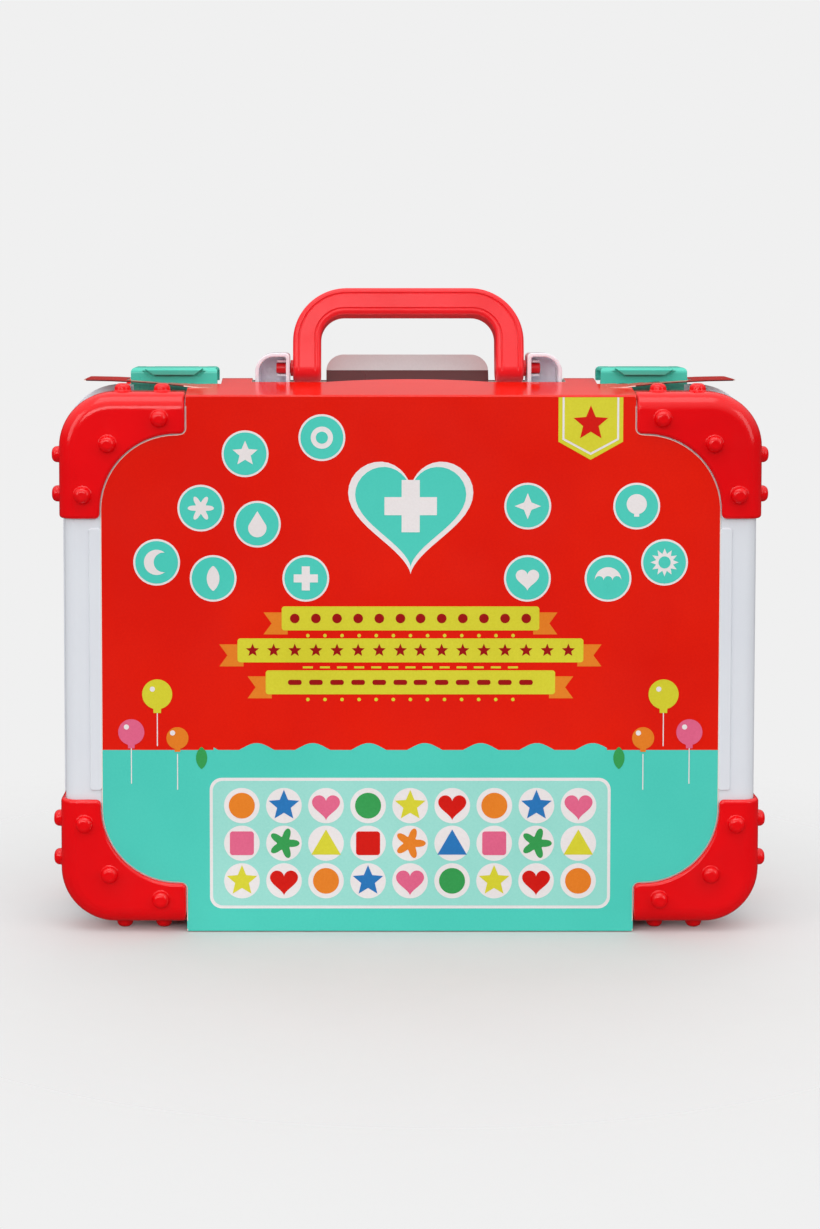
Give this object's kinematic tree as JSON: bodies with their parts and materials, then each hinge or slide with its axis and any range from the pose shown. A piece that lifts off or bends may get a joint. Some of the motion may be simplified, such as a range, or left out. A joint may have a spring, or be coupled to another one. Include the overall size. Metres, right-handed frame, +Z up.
{
  "type": "toy doctor case",
  "caption": "Child's plastic carrying case with studded corner protectors, folding handle, flip latches, a bottom hinge and a printed card sleeve over its back.",
  "frame": {"origin": "centre of the footprint, on the surface that the bottom studs stand on", "axes": "+X to the right as seen from the back of the case, +Y from the back (sleeve side) to the front, +Z up"},
  "size_m": [0.358, 0.098, 0.3219],
  "materials": {
    "white_plastic": "satin moulded",
    "red_plastic": "glossy moulded",
    "turquoise_plastic": "glossy moulded",
    "pin_steel": "bright wire",
    "printed_card": "glossy printed card"
  },
  "bodies": {
    "rear_half": {"rear_shell": "white_plastic", "rear_corner_top_left": "red_plastic", "rear_corner_top_right": "red_plastic", "rear_corner_bottom_left": "red_plastic", "rear_corner_bottom_right": "red_plastic", "handle_bracket_left": "white_plastic", "handle_bracket_right": "white_plastic", "card_sleeve": "printed_card", "hinge_pin_left": "pin_steel", "hinge_pin_right": "pin_steel"},
    "front_half": {"front_shell": "white_plastic", "front_corner_top_left": "red_plastic", "front_corner_top_right": "red_plastic", "front_corner_bottom_left": "red_plastic", "front_corner_bottom_right": "red_plastic", "latch_pin_left": "pin_steel", "latch_pin_right": "pin_steel"},
    "handle": {"handle": "red_plastic"},
    "latch_left": {"latch_left": "turquoise_plastic"},
    "latch_right": {"latch_right": "turquoise_plastic"}
  },
  "joints": [
    {"name": "lid_hinge", "type": "hinge", "parent": "rear_half", "child": "front_half", "pos_m": [0, 0, 0.003], "axis": [-1, 0, 0], "range_deg": [0, 160]},
    {"name": "handle_pivot", "type": "hinge", "parent": "rear_half", "child": "handle", "pos_m": [0, 0, 0.2809], "axis": [1, 0, 0], "range_deg": [-69, 90]},
    {"name": "latch_left_hinge", "type": "hinge", "parent": "front_half", "child": "latch_left", "pos_m": [-0.1191, 0.0075, 0.2769], "axis": [-1, 0, 0], "range_deg": [0, 110]},
    {"name": "latch_right_hinge", "type": "hinge", "parent": "front_half", "child": "latch_right", "pos_m": [0.1191, 0.0075, 0.2769], "axis": [-1, 0, 0], "range_deg": [0, 110]}
  ]
}
